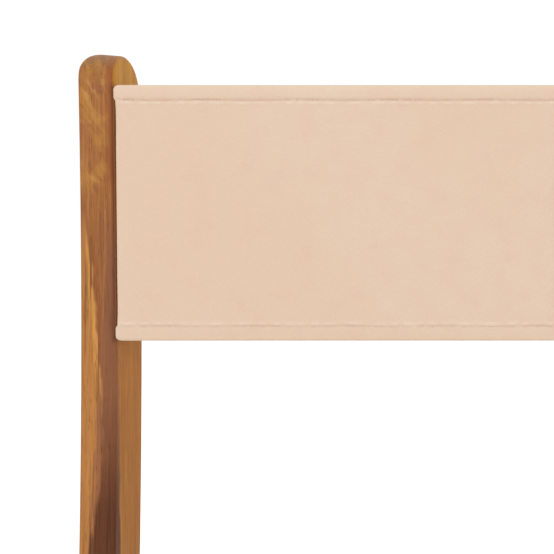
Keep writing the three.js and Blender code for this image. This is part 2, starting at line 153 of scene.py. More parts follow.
class Tree:
    """Adds nodes to a material one after another and links their sockets."""

    def __init__(self, material):
        material.use_nodes = True
        self.nodes = material.node_tree.nodes
        self.links = material.node_tree.links
        self.shader = self.nodes["Principled BSDF"]

    def feed(self, socket, value):
        if isinstance(value, bpy.types.NodeSocket):
            self.links.new(value, socket)
        else:
            socket.default_value = value

    def finish(self, **values):
        """Sets the shader's own inputs, with _ for the spaces in their names."""
        for key, value in values.items():
            self.feed(self.shader.inputs[key.replace("_", " ")], value)

    def add(self, kind, inputs=None, output=0, **settings):
        node = self.nodes.new(kind)
        for key, value in settings.items():
            setattr(node, key, value)
        for key, value in (inputs or {}).items():
            self.feed(node.inputs[key], value)
        return node.outputs[output]

    def maths(self, operation, first, second=0.0):
        return self.add("ShaderNodeMath", {0: first, 1: second}, operation=operation)

    def noise(self, vector, scale, detail=2.0, roughness=0.5, distortion=0.0):
        inputs = {
            "Vector": vector,
            "Scale": scale,
            "Detail": detail,
            "Roughness": roughness,
            "Distortion": distortion,
        }
        return self.add("ShaderNodeTexNoise", inputs)

    def stretch(self, vector, scale):
        return self.add("ShaderNodeMapping", {"Vector": vector, "Scale": scale})

    def span(self, value, low, high, to_low=0.0, to_high=1.0):
        """Goes smoothly from to_low to to_high while the value goes from low to high."""
        inputs = {
            "Value": value,
            "From Min": low,
            "From Max": high,
            "To Min": to_low,
            "To Max": to_high,
        }
        return self.add("ShaderNodeMapRange", inputs, interpolation_type="SMOOTHSTEP")

    def mix(self, share, first, second):
        """A share of the second colour over the first."""
        colour_sockets = {0: share, 6: first, 7: second}
        return self.add("ShaderNodeMix", colour_sockets, 2, data_type="RGBA")

    def ramp(self, value, stops):
        node = self.nodes.new("ShaderNodeValToRGB")
        elements = node.color_ramp.elements
        while len(elements) < len(stops):
            elements.new(0.5)
        for element, (place, colour) in zip(elements, stops):
            element.position = place
            element.color = colour
        self.feed(node.inputs[0], value)
        return node.outputs[0]

    def bump(self, height, strength, distance):
        inputs = {"Strength": strength, "Distance": distance, "Height": height}
        return self.add("ShaderNodeBump", inputs)

    def split(self, vector):
        node = self.nodes.new("ShaderNodeSeparateXYZ")
        self.feed(node.inputs[0], vector)
        return node.outputs

    def join(self, x, y, z):
        return self.add("ShaderNodeCombineXYZ", {0: x, 1: y, 2: z})


# The tones of the wood, from the palest sapwood to the darkest heart.
pale_gold = srgb(192, 138, 70)
gold = srgb(176, 118, 56)
honey = srgb(160, 103, 50)
russet = srgb(146, 88, 50)
umber = srgb(118, 74, 48)
heart = srgb(80, 46, 28)

# Features per metre across, behind and along the grain.
drift_stretch = (9, 9, 2.2)
cloud_stretch = (34, 34, 7)
streak_stretch = (46, 46, 2.3)
fibre_stretch = (900, 900, 31.5)
pore_stretch = (1500, 1500, 82.5)
ring_scale = 260.0
band_scale = 75.0

seed_spread = (1, 0.37, 0.61)
grain_wander = 0.060
pith_across = 0.055  # from the middle of the board to the middle of the tree's rings
pith_behind = 0.02
ring_flatness = 0.6
ring_slip = 0.03  # along the grain
no_heart_start = 0.74  # of the dark streaks, in a board without heart
heart_effect = 0.32
wood_sheen = 0.09
wood_relief = 0.00022


def oiled_wood(name, turn, centre, seed, heart_share, marks=None):
    """Oiled acacia with its grain along the piece's own Z after turning by the XYZ angles."""
    material = bpy.data.materials.new(name)
    tree = Tree(material)
    place = tree.add("ShaderNodeTexCoord", output="Object")
    moved = tree.add("ShaderNodeVectorMath", {0: place, 1: centre}, operation="SUBTRACT")
    board = tree.add("ShaderNodeMapping", {"Vector": moved, "Rotation": turn})
    across, deep, along = tree.split(board)
    seeding = tuple(seed * share for share in seed_spread)
    seeded = tree.add("ShaderNodeVectorMath", {0: board, 1: seeding}, operation="ADD")

    # Slow wandering of the grain, then growth rings around a pith beside the board.
    drift = tree.noise(tree.stretch(seeded, drift_stretch), 1.0)
    wander = tree.maths("MULTIPLY", tree.maths("SUBTRACT", drift, 0.5), grain_wander)
    ring_x = tree.maths("ADD", tree.maths("ADD", across, pith_across), wander)
    ring_y = tree.maths("ADD", tree.maths("MULTIPLY", deep, ring_flatness), pith_behind)
    ring_vector = tree.join(ring_x, ring_y, 0.0)
    radius = tree.add("ShaderNodeVectorMath", {0: ring_vector}, "Value", operation="LENGTH")
    slip = tree.maths("MULTIPLY", along, ring_slip)
    ring_place = tree.join(tree.maths("ADD", radius, seed), 0.0, slip)
    rings = tree.noise(ring_place, ring_scale, 3.0, 0.6)
    bands = tree.noise(ring_place, band_scale)
    tones = [(0.0, russet), (0.35, honey), (0.65, gold), (1.0, pale_gold)]
    base = tree.ramp(tree.span(bands, 0.33, 0.67), tones)

    # Reddish clouds and darker heart streaks.
    clouds = tree.noise(tree.stretch(seeded, cloud_stretch), 1.0, 3.0, 0.55)
    cloudy = tree.span(clouds, 0.45, 0.65, 0.0, 0.6)
    base = tree.mix(cloudy, base, russet)
    streaks = tree.noise(tree.stretch(seeded, streak_stretch), 1.0, 2.0, 0.5, 0.2)
    streak_start = no_heart_start - heart_effect * heart_share
    streaky = tree.span(streaks, streak_start, streak_start + 0.10, 0.0, 0.8)
    base = tree.mix(streaky, base, umber)
    if marks:
        base = marks(tree, base, across, along, deep)

    # Fine rings, fibres and pores.
    ringed = tree.span(rings, 0.42, 0.72, 0.0, 0.24)
    base = tree.mix(ringed, base, heart)
    fibres = tree.noise(tree.stretch(seeded, fibre_stretch), 1.0, 3.0, 0.6)
    fibrous = tree.span(fibres, 0.42, 0.7, 0.0, 0.16)
    base = tree.mix(fibrous, base, heart)
    pores = tree.span(tree.noise(tree.stretch(seeded, pore_stretch), 1.0, 1.0, 0.4), 0.66, 0.74)
    base = tree.mix(tree.maths("MULTIPLY", pores, 0.5), base, heart)
    relief = tree.maths("SUBTRACT", tree.maths("MULTIPLY", fibres, 0.35), pores)
    tree.finish(
        Base_Color=base,
        Roughness=tree.span(fibres, 0.3, 0.7, 0.46, 0.58),
        Specular_IOR_Level=wood_sheen,
        Normal=tree.bump(relief, 0.35, wood_relief),
    )
    return material


sharp_turn = math.radians(40)  # between the two faces of an arris
hole_span = 0.026  # wider than any drilled hole
weld_distance = 0.00002
flat_turn = math.radians(0.4)  # between faces that count as one


def mark_arrises(mesh, least_span):
    """Marks the sharp edges to round over: those in joined sets wider than least_span."""
    normals = {}
    for polygon in mesh.polygons:
        for key in polygon.edge_keys:
            normals.setdefault(key, []).append(polygon.normal)
    sharp = []
    for key, pair in normals.items():
        if len(pair) == 2 and pair[0].angle(pair[1], 0) > sharp_turn:
            sharp.append(key)
    parent = {vertex: vertex for key in sharp for vertex in key}

    def root(vertex):
        while parent[vertex] != vertex:
            parent[vertex] = parent[parent[vertex]]
            vertex = parent[vertex]
        return vertex

    for first, second in sharp:
        parent[root(first)] = root(second)
    members = {}
    for vertex in parent:
        members.setdefault(root(vertex), []).append(mesh.vertices[vertex].co)
    wide = set()
    for top, places in members.items():
        spans = [max(values) - min(values) for values in zip(*places)]
        if max(spans) > least_span:
            wide.add(top)
    chosen = {key for key in sharp if root(key[0]) in wide}
    drilled = set(sharp) - chosen
    weights = mesh.attributes.new("bevel_weight_edge", "FLOAT", "EDGE")
    for edge in mesh.edges:
        weights.data[edge.index].value = 1.0 if edge.key in chosen else 0.0
        edge.use_edge_sharp = edge.key in drilled


def eased_copy(node_name, ease, segments=3, saw_cuts=(), least_span=hole_span):
    """A copy of a CAD node as one welded mesh, sawn by planes, with its arrises rounded over."""
    source = nodes[node_name]
    piece = source.copy()
    piece.data = source.data.copy()
    piece.data.materials.clear()
    piece.parent = None
    piece.matrix_world = Matrix.Identity(4)
    piece.name = node_name + "_eased"
    scene.collection.objects.link(piece)
    bpy.ops.object.select_all(action="DESELECT")
    piece.select_set(True)
    bpy.context.view_layer.objects.active = piece
    bpy.ops.object.mode_set(mode="EDIT")
    bpy.ops.mesh.select_all(action="SELECT")
    bpy.ops.mesh.remove_doubles(threshold=weld_distance)
    bpy.ops.mesh.dissolve_limited(angle_limit=flat_turn)
    for point, normal in saw_cuts:
        bpy.ops.mesh.select_all(action="SELECT")
        bpy.ops.mesh.bisect(plane_co=point, plane_no=normal, use_fill=True, clear_outer=True)
    if not saw_cuts:
        bpy.ops.mesh.select_all(action="SELECT")
        bpy.ops.mesh.quads_convert_to_tris(ngon_method="BEAUTY")
    bpy.ops.object.mode_set(mode="OBJECT")
    mark_arrises(piece.data, least_span)
    rounding = piece.modifiers.new("rounding", "BEVEL")
    rounding.width = ease
    rounding.segments = segments
    rounding.limit_method = "WEIGHT"
    rounding.use_clamp_overlap = True
    bpy.ops.object.modifier_apply(modifier="rounding")
    bpy.ops.object.shade_smooth()
    weighting = piece.modifiers.new("weighting", "WEIGHTED_NORMAL")
    weighting.mode = "FACE_AREA"
    weighting.keep_sharp = True
    bpy.ops.object.modifier_apply(modifier="weighting")
    return piece


def finish_wood(piece, node_name, body, material):
    """Gives a piece its wood and its place on a body, instead of the CAD node."""
    piece.data.materials.append(material)
    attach(piece, body)
    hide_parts(node_name)


def middle_of(node_name):
    low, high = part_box(node_name)
    return (low + high) / 2


def wooden_piece(node_name, body, turn, ease, seed, heart_share):
    """One board or bar, sawn and rounded like its CAD node, in its own piece of wood."""
    wood = oiled_wood("wood_" + node_name, turn, middle_of(node_name), seed, heart_share)
    finish_wood(eased_copy(node_name, ease), node_name, body, wood)


# ---- Posts ----
# Each post is one bent-sawn acacia plank, from the front foot to the rounded top of the back.
# Its grain runs straight along the back, and the left one shows a dark heart low down.

post_ease = 0.0024
back_lean = math.atan2(back_up.y, back_up.z)
from_back_foot = middle_of("post_left") - back_foot
post_low, post_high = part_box("post_left")
post_width = post_high.x - post_low.x

# The colours of the left post's own marks, and of its painted shade and sheen.
face_brown = srgb(156, 102, 60)
inner_brown = srgb(138, 86, 56)
arris_red = srgb(150, 84, 42)
flank_gold = srgb(166, 104, 16)
flank_pale = srgb(192, 138, 52)
flank_line = srgb(140, 84, 40)
cloud_pale = srgb(176, 122, 58)
cloud_red = srgb(150, 92, 62)
flame_dark = srgb(116, 76, 44)
flame_pale = srgb(190, 140, 78)
# Painted sheen for the crown of the top.
crown_sheen_grey = srgb(150, 112, 80)
sapwood_tone = srgb(180, 123, 66)
streak_yellow = srgb(206, 148, 76)
streak_brown = srgb(134, 78, 42)
sapwood_line = srgb(128, 78, 38)
face_line = srgb(122, 76, 44)
face_gleam = srgb(190, 134, 74)
heart_purple = srgb(136, 88, 62)
heart_dark = srgb(90, 50, 31)
heart_black = srgb(56, 30, 19)
# Painted shade for the arris beside the cloth.
arris_shade_brown = srgb(92, 54, 36)

waver_scale = 90.0
waver_reach = 0.009
line_scale = 420.0
fray_reach = 0.006
flame_turn = (0, -0.95, 0)
flame_stretch = (38, 1, 150)
flame_cloud_scale = 62.0
streak_foot = 0.0118  # from the outer arris, at the lower edge of the cloth
streak_slant = -0.085


def left_post_marks(tree, base, across, along, deep):
    """The plank's figure: flames near the top, a yellow streak, and a dark heart low down.

    With painted shade on the arris beside the cloth and painted sheen on the crown.
    """
    # rise is the height above the lower edge of the back cloth, and side the distance from the
    # outer arris, carried on round the inner one. flank is 1 on the inner flank, -1 on the outer.
    rise = tree.maths("ADD", along, from_back_foot.dot(back_up))
    behind_face = tree.maths("ADD", deep, from_back_foot.dot(back_inward))
    behind = tree.maths("MAXIMUM", behind_face, 0.0)
    flank = tree.add("ShaderNodeAttribute", output="Fac", attribute_name="flank")
    face = tree.span(tree.maths("ABSOLUTE", flank), 0.5, 0.9, 1.0, 0.0)
    inner_flank = tree.span(flank, 0.5, 0.9)
    edge_side = tree.maths("ADD", across, post_width / 2)
    side = tree.maths("ADD", edge_side, tree.maths("MULTIPLY", behind, flank))

    # The marks waver, and their edges fray along the grain.
    waver_place = tree.join(side, 0.0, tree.maths("MULTIPLY", rise, 0.35))
    waver = tree.maths("SUBTRACT", tree.noise(waver_place, waver_scale), 0.5)
    waver = tree.maths("MULTIPLY", waver, waver_reach)
    line_place = tree.join(side, 0.0, tree.maths("MULTIPLY", rise, 0.03))
    lines = tree.noise(line_place, line_scale, 3.0, 0.6)
    fray = tree.maths("MULTIPLY", tree.maths("SUBTRACT", lines, 0.5), fray_reach)
    side = tree.maths("ADD", side, tree.maths("ADD", waver, fray))

    def lay(base, colour, strength, *shares):
        """Lays a colour over the base at a strength, where all the shares are above 0."""
        share = strength
        for part in shares:
            share = tree.maths("MULTIPLY", part, share)
        return tree.mix(share, base, colour)

    # The face is a warm brown, redder towards the inner arris.
    inner_half = tree.span(side, 0.009, 0.019)
    below_flames = tree.span(rise, 0.115, 0.07)
    near_arris = tree.span(side, 0.0185, 0.0215)
    above_streak = tree.span(rise, 0.09, 0.12)
    base = lay(base, face_brown, 0.6, face)
    base = lay(base, inner_brown, 0.75, face, inner_half, below_flames)
    base = lay(base, arris_red, 0.7, face, near_arris, above_streak)

    # The flank is more golden, and palest at the top.
    flank_top = tree.span(rise, 0.15, 0.19)
    flank_lines = tree.span(lines, 0.52, 0.68)
    base = lay(base, flank_gold, 0.78, inner_flank)
    base = lay(base, flank_pale, 0.8, inner_flank, flank_top)
    base = lay(base, flank_line, 0.5, inner_flank, flank_lines)

    # Flames cross the grain below the top.
    flame_inputs = {"Vector": tree.join(side, 0.0, rise), "Rotation": flame_turn}
    flame_place = tree.add("ShaderNodeMapping", flame_inputs)
    flames = tree.noise(tree.stretch(flame_place, flame_stretch), 1.0, 2.0, 0.5, 0.8)
    clouds = tree.noise(tree.join(side, 0.3, rise), flame_cloud_scale, 3.0, 0.5, 0.5)
    flamed = tree.maths("MULTIPLY", above_streak, tree.span(side, 0.023, 0.018))
    crown = tree.span(rise, 0.190, 0.203)
    base = lay(base, cloud_pale, 0.65, face, flamed, tree.span(clouds, 0.48, 0.64))
    base = lay(base, cloud_red, 0.6, face, flamed, tree.span(clouds, 0.46, 0.34))
    base = lay(base, flame_dark, 0.5, face, flamed, tree.span(flames, 0.52, 0.68))
    base = lay(base, flame_pale, 0.5, face, flamed, tree.span(flames, 0.45, 0.32))
    # Painted sheen: the crown of the top, which faces the light from above, is painted a greyer
    # brown.
    base = lay(base, crown_sheen_grey, 0.6, face, crown)

    # The yellow streak widens downwards into a band of sapwood.
    streak_middle = tree.maths("ADD", tree.maths("MULTIPLY", rise, streak_slant), streak_foot)
    off_streak = tree.maths("SUBTRACT", side, streak_middle)
    streak_low = tree.span(rise, 0.095, 0.060)
    sapwood = tree.maths("MULTIPLY", tree.span(off_streak, 0.002, -0.001), streak_low)
    glow_start = tree.span(off_streak, -0.0038, -0.0006)
    glow = tree.maths("MULTIPLY", glow_start, tree.span(off_streak, 0.0012, 0.0))
    glow_height = tree.span(rise, -0.10, -0.02, 0.3, 1.0)
    shade_start = tree.span(off_streak, 0.0008, 0.0020)
    shade = tree.maths("MULTIPLY", shade_start, tree.span(off_streak, 0.0060, 0.0030))
    base = lay(base, sapwood_tone, 0.8, face, sapwood)
    base = lay(base, streak_yellow, 0.8, face, glow, streak_low, glow_height)
    base = lay(base, streak_brown, 0.5, face, shade, streak_low)
    base = lay(base, sapwood_line, 0.55, face, sapwood, tree.span(lines, 0.55, 0.66))
    base = lay(base, face_line, 0.4, face, tree.span(lines, 0.54, 0.68))
    base = lay(base, face_gleam, 0.35, face, tree.span(lines, 0.46, 0.32))

    # The purple-brown heart lies along the inner arris and fills the face lower down.
    heart_left = tree.span(rise, -0.16, 0.10, 0.0085, 0.0185)
    heartwood = tree.span(tree.maths("SUBTRACT", side, heart_left), -0.001, 0.0025)
    heart_end = tree.span(side, 0.031, 0.0265)
    heart_top = tree.span(rise, 0.09, 0.055)
    dark_top = tree.span(rise, -0.02, -0.13)
    dark_left = tree.span(rise, -0.16, -0.08, 0.0080, 0.0140)
    darkest = tree.span(tree.maths("SUBTRACT", side, dark_left), -0.0005, 0.0035)
    heart_lines = tree.span(lines, 0.48, 0.66)
    base = lay(base, heart_purple, 0.75, heartwood, heart_end, heart_top)
    base = lay(base, heart_dark, 0.92, darkest, dark_top, heart_end)
    base = lay(base, heart_black, 0.5, darkest, dark_top, heart_end, heart_lines)

    # Painted shade: the arris beside the cloth is painted darker, where it rounds away into the
    # shadowed gap at the cloth's edge.
    above_hem = tree.span(rise, -0.004, 0.0)
    beside_cloth = tree.maths("MULTIPLY", above_hem, tree.span(rise, 0.184, 0.178))
    shaded_arris = tree.span(edge_side, 0.0215, 0.0250)
    return lay(base, arris_shade_brown, 0.8, beside_cloth, shaded_arris, face)


post_top_lean = math.radians(13.5)
post_depth = 0.050
top_round_width = 0.0105  # the sanded outer shoulder of the top, across and down
top_round_drop = 0.0185
top_round_cuts = 9
taper_cuts = 10
taper_start = math.radians(36)  # from the front of the half-round
taper_step = math.radians(9)
taper_peak = math.radians(68)
taper_fade = 1.6
top_taper = math.radians(4.5)  # the front of the top round falls towards the inner face


def top_cuts(node_name, outward):
    """The planes that sand the outer shoulder of a post's top and taper its half-round inwards."""
    up = Vector((0, math.sin(post_top_lean), math.cos(post_top_lean)))
    front = Vector((0, -up.z, up.y))
    apex = max((vertex.co.copy() for vertex in nodes[node_name].data.vertices), key=up.dot)
    low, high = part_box(node_name)
    outer_x = high.x if outward > 0 else low.x
    crown = Vector((outer_x - outward * top_round_width, apex.y, apex.z))
    side = Vector((outward, 0, 0))
    shoulder = crown - up * top_round_drop
    cuts = []
    for index in range(top_round_cuts):
        angle = math.pi / 2 * (index + 0.5) / top_round_cuts
        wide, high_up = math.cos(angle), math.sin(angle)
        point = shoulder + side * top_round_width * wide + up * top_round_drop * high_up
        normal = side * wide / top_round_width + up * high_up / top_round_drop
        cuts.append((point, normal.normalized()))
    hub = crown - up * post_depth / 2
    for index in range(taper_cuts):
        angle = taper_start + taper_step * index
        spoke = front * math.cos(angle) + up * math.sin(angle)
        taper = top_taper * math.cos(taper_fade * (angle - taper_peak))
        normal = spoke * math.cos(taper) - side * math.sin(taper)
        cuts.append((hub + spoke * post_depth / 2, normal))
    return cuts


for side, outward, seed, marks in (("left", -1, 3.1, left_post_marks), ("right", 1, 10.8, None)):
    node_name = "post_" + side
    post_middle = middle_of(node_name)
    wood = oiled_wood("wood_" + node_name, (back_lean, 0, 0), post_middle, seed, 0.2, marks)
    piece = eased_copy(node_name, post_ease, saw_cuts=top_cuts(node_name, outward))
    flank = piece.data.attributes.new("flank", "FLOAT", "FACE")
    for polygon in piece.data.polygons:
        flank.data[polygon.index].value = -outward * polygon.normal.x
    finish_wood(piece, node_name, "back_frame", wood)

# ---- Boards across the posts ----
# Two flat boards tie the posts together: one on their front faces low down, and one on their
# rear faces behind the seat. Each is held by two screws at each end.

board_ease = 0.002
across_turn = (0, -math.pi / 2, 0)
for node_name, seed in (("front_stretcher", 21.3), ("back_rail", 26.4)):
    wooden_piece(node_name, "back_frame", across_turn, board_ease, seed, heart_share=0.4)

# ---- Leg frame ----
# Two straight legs cross the posts. A dowel joins their tops and carries the seat, and a flat
# stretcher joins them low down.

leg_turn = (-math.radians(35), 0, 0)
leg_ease = 0.0025
leg_bar_ease = 0.0015
for node_name, seed in (("leg_left", 41.7), ("leg_right", 48.0)):
    wooden_piece(node_name, "leg_frame", leg_turn, leg_ease, seed, heart_share=0.45)
for node_name, seed in (("seat_support_bar", 57.9), ("rear_stretcher", 62.2)):
    wooden_piece(node_name, "leg_frame", across_turn, leg_bar_ease, seed, heart_share=0.3)

# ---- Seat frame ----
# Two rails with rounded ends, two dowels between them, and under each rail a cleat whose notch
# takes the bar between the legs.

level_turn = (-math.pi / 2, 0, 0)
rail_ease = 0.0022
cleat_ease = 0.0012
dowel_ease = 0.001
for node_name, ease, seed in (
    ("seat_rail_left", rail_ease, 71.3),
    ("seat_cleat_left", cleat_ease, 75.0),
    ("seat_rail_right", rail_ease, 80.4),
    ("seat_cleat_right", cleat_ease, 84.1),
):
    wooden_piece(node_name, "seat_frame", level_turn, ease, seed, heart_share=0.35)
for node_name, seed in (("seat_front_rail", 93.1), ("seat_rear_rail", 99.0)):
    wooden_piece(node_name, "seat_frame", across_turn, dowel_ease, seed, heart_share=0.3)

# ---- Battens ----
# Thin strips of the same wood, screwed over the turned-in ends of both cloths: along the posts
# for the back, and along the seat rails for the seat.

batten_ease = 0.0012
for node_name, body, turn, seed in (
    ("back_batten_left", "back_frame", (back_lean, 0, 0), 111.7),
    ("back_batten_right", "back_frame", (back_lean, 0, 0), 120.0),
    ("seat_batten_left", "seat_frame", level_turn, 114.6),
    ("seat_batten_right", "seat_frame", level_turn, 122.9),
):
    wooden_piece(node_name, body, turn, batten_ease, seed, heart_share=0.2)

# ---- Steel and nylon ----
# Zinc-plated screws, bolts, cap nuts and spacers with a satin, slightly cloudy plating, and
# black moulded glides and washers.

zinc_cloud_scale = 220.0
zinc_tones = [(0.3, srgb(176, 177, 178)), (0.7, srgb(205, 205, 203))]
steel = bpy.data.materials.new("satin_zinc")
steel_tree = Tree(steel)
steel_place = steel_tree.add("ShaderNodeTexCoord", output="Object")
steel_cloud = steel_tree.noise(steel_place, zinc_cloud_scale, 3.0)
steel_tree.finish(
    Base_Color=steel_tree.ramp(steel_cloud, zinc_tones),
    Roughness=steel_tree.span(steel_cloud, 0.3, 0.7, 0.24, 0.38),
    Metallic=1.0,
)

nylon_grit_scale = 2600.0
nylon_relief = 0.0001
nylon_tones = [(0.3, srgb(34, 33, 32)), (0.7, srgb(48, 47, 45))]
nylon = bpy.data.materials.new("moulded_nylon")
nylon_tree = Tree(nylon)
nylon_place = nylon_tree.add("ShaderNodeTexCoord", output="Object")
nylon_grit = nylon_tree.noise(nylon_place, nylon_grit_scale)
nylon_tree.finish(
    Base_Color=nylon_tree.ramp(nylon_grit, nylon_tones),
    Roughness=0.55,
    Normal=nylon_tree.bump(nylon_grit, 0.25, nylon_relief),
)

screw_ease = 0.0002
hardware_ease = 0.0004
slot_of = {entry["node"]: entry["material_slot"] for entry in frame["record"]["subparts"]}
body_of = {}
for body, names in frame["record"]["behaviour"]["bodies"].items():
    body_of.update(dict.fromkeys(names, body))
for node_name in nodes:
    finish = {"steel": steel, "nylon": nylon}.get(slot_of[node_name])
    if finish:
        ease = screw_ease if "screw" in node_name else hardware_ease
        piece = eased_copy(node_name, ease, segments=2, least_span=0.0)
        piece.data.materials.append(finish)
        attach(piece, body_of[node_name])
        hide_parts(node_name)

# ---- Cloth ----
# Both panels are one close-woven beige cloth, hemmed along both open edges with one row of
# stitches, and turned in at the ends where the battens clamp it.

cloth_light = srgb(217, 194, 172)
cloth_mid = srgb(215, 190, 166)
cloth_rose = srgb(215, 185, 164)
cloth_shade = srgb(196, 164, 140)
# Painted shade and painted highlight for the cloth's grooves, crests and folds.
cloth_painted_shade = srgb(178, 146, 120)
cloth_painted_highlight = srgb(238, 220, 202)
threads_per_metre = 2100.0
broad_scale = 5.0
mottle_scale = 55.0
fleck_scale = 1300.0
fleck_stretch = (1, 0.4, 1)
weave_relief = 0.00025


def woven_cloth(name):
    """A fine close weave with a soft nap. Its UV is in metres of cloth."""
    material = bpy.data.materials.new(name)
    tree = Tree(material)
    place = tree.add("ShaderNodeUVMap", uv_map="cloth")
    mottle = tree.noise(place, mottle_scale, 4.0, 0.6)
    broad = tree.noise(place, broad_scale)
    base = tree.mix(tree.span(broad, 0.35, 0.7), cloth_light, cloth_mid)
    base = tree.mix(tree.span(mottle, 0.4, 0.75, 0.0, 0.6), base, cloth_rose)

    # The threads pass over and under each other once in two threads.
    u, v, _ = tree.split(place)
    warp = tree.maths("SINE", tree.maths("MULTIPLY", u, threads_per_metre * math.tau / 2))
    weft = tree.maths("SINE", tree.maths("MULTIPLY", v, threads_per_metre * math.tau / 2))
    weave = tree.maths("MULTIPLY", warp, weft)
    fleck_place = tree.stretch(place, fleck_stretch)
    flecks = tree.noise(fleck_place, fleck_scale, 3.0, 0.6)
    weave_shade = tree.span(weave, -1.0, 1.0, 0.0, 0.10)
    fleck_shade = tree.span(flecks, 0.3, 0.75, 0.0, 0.22)
    base = tree.mix(tree.maths("ADD", weave_shade, fleck_shade), base, cloth_shade)

    # Painted light: the groove of the stitches and the lower fold are painted darker as shade,
    # and the crests beside the groove and the upper fold are painted lighter as highlight.
    painted_light = tree.add("ShaderNodeAttribute", output="Fac", attribute_name="painted_light")
    base = tree.mix(tree.span(painted_light, 0.0, 1.0, 0.0, 0.4), base, cloth_painted_shade)
    base = tree.mix(tree.span(painted_light, 0.0, -1.0, 0.0, 0.45), base, cloth_painted_highlight)
    height = tree.maths("ADD", tree.maths("MULTIPLY", weave, 0.3), flecks)
    tree.finish(
        Base_Color=base,
        Roughness=0.92,
        Specular_IOR_Level=0.25,
        Sheen_Weight=0.25,
        Sheen_Roughness=0.5,
        Normal=tree.bump(height, 0.35, weave_relief),
    )
    return material


thread_twist_scale = 1800.0
thread_tones = [(0.35, srgb(198, 166, 140)), (0.65, srgb(222, 198, 175))]
cloth_finish = woven_cloth("beige_cloth")
thread_finish = bpy.data.materials.new("beige_thread")
thread_tree = Tree(thread_finish)
thread_place = thread_tree.add("ShaderNodeTexCoord", output="Object")
thread_twist = thread_tree.noise(thread_place, thread_twist_scale)
thread_tree.finish(Base_Color=thread_tree.ramp(thread_twist, thread_tones), Roughness=0.8)

cloth_thickness = 0.0011
fold_rise = 0.0013  # from the cloth to the turned-under hem
turn_in = 0.022
hem_allowance = 0.010
hem_line = 0.0098  # from the folded edge to the stitches
hem_blend = 0.0004
corner_radius = 0.0026  # where the panel turns back at its ends
hem_corner = 0.0032  # of the hem's outline

groove_width = 0.0010  # pressed in by the stitches
groove_depth = 0.00036
groove_swell = 0.00016
pull_length = 0.0081
fine_crease = 0.00010
fine_crease_reach = 0.009
soft_crease = 0.0005
soft_crease_reach = 0.016
crest_height = 0.0002
crest_place = 0.0024  # from the stitches, towards the middle of the panel

# Painted light in the cloth's colour: shade in the groove of the stitches and at the lower fold,
# highlight on the crest beside it and at the upper fold.
tone_width = 0.0011
groove_shade = 0.45
groove_shade_place = -0.0004
crest_highlight = 0.6
crest_highlight_place = 0.0020
lower_fold_shade = 0.25
upper_fold_highlight = -0.45


def from_edge(z, height):
    return min(z, height - z)


def in_hem(z, height):
    """1 within the hems and 0 between them, changing at the stitches."""
    return 1 / (1 + math.exp((from_edge(z, height) - hem_line) / hem_blend))


def bell(distance, width):
    """1 at no distance, falling away on both sides over about the width."""
    return math.exp(-((distance / width) ** 2))


def pucker(u, z, height, hem_rise):
    """How far the cloth lies inwards: a groove along the stitches, soft creases, a proud hem.

    The sines take radians per metre of cloth, in numbers that don't fall in step.
    """
    off_line = from_edge(z, height) - hem_line
    wave = 0.5 + 0.5 * math.sin(u * math.tau / pull_length + 1.3 * math.sin(u * 97))
    groove = bell(off_line, groove_width) * (groove_depth + groove_swell * wave)
    creases = 0.0
    if off_line > 0:
        bend = math.sin(u * 310 + 2 * math.sin(u * 41) + 900 * off_line)
        creases = fine_crease * math.exp(-off_line / fine_crease_reach) * bend
        bend = math.sin(u * 95 + 160 * off_line)
        creases += soft_crease * math.exp(-off_line / soft_crease_reach) * bend
    crest = -crest_height * bell(off_line - crest_place, groove_width)
    return groove + creases + crest - hem_rise * in_hem(z, height)


def painted_light_at(u, z, height):
    """Painted light: positive where shade is painted, in the groove of the stitches and at the
    lower fold.

    Negative where a highlight is painted, on the crest beside the groove and at the upper fold.
    """
    off_line = from_edge(z, height) - hem_line
    patchy = 0.75 + 0.25 * math.sin(u * 530 + 3 * math.sin(u * 71))
    groove = bell(off_line - groove_shade_place, tone_width)
    crest = bell(off_line - crest_highlight_place, tone_width)
    in_fold = max(0.0, 1 - from_edge(z, height) / hem_line)
    fold_light = (lower_fold_shade if z < height / 2 else upper_fold_highlight) * in_fold
    return patchy * (groove_shade * groove - crest_highlight * crest) + fold_light


fewest_steps = 4


def steps_between(marks, sizes):
    """Places from the first mark to the last, spaced by about each size between its marks."""
    places = []
    for (start, end), size in zip(zip(marks, marks[1:]), sizes):
        count = max(fewest_steps, round((end - start) / size))
        places += [start + (end - start) * k / count for k in range(count)]
    return places + [marks[-1]]


# The sizes of the mesh's steps: coarse where the cloth is flat, fine where it bends.
turn_in_step = 0.003
corner_step = 0.0008
face_step = 0.0014
hem_end_step = 0.0025
fold_step = 0.0006
edge_step = 0.0007
middle_step = 0.0040
edge_zone = 0.006  # past the stitches, still with fine steps

side_blend = 0.006  # of the shaped outline into the flat of the panel
plain_overhang = 0.3  # between the hems, as a share of theirs
overhang_reach = 0.0016


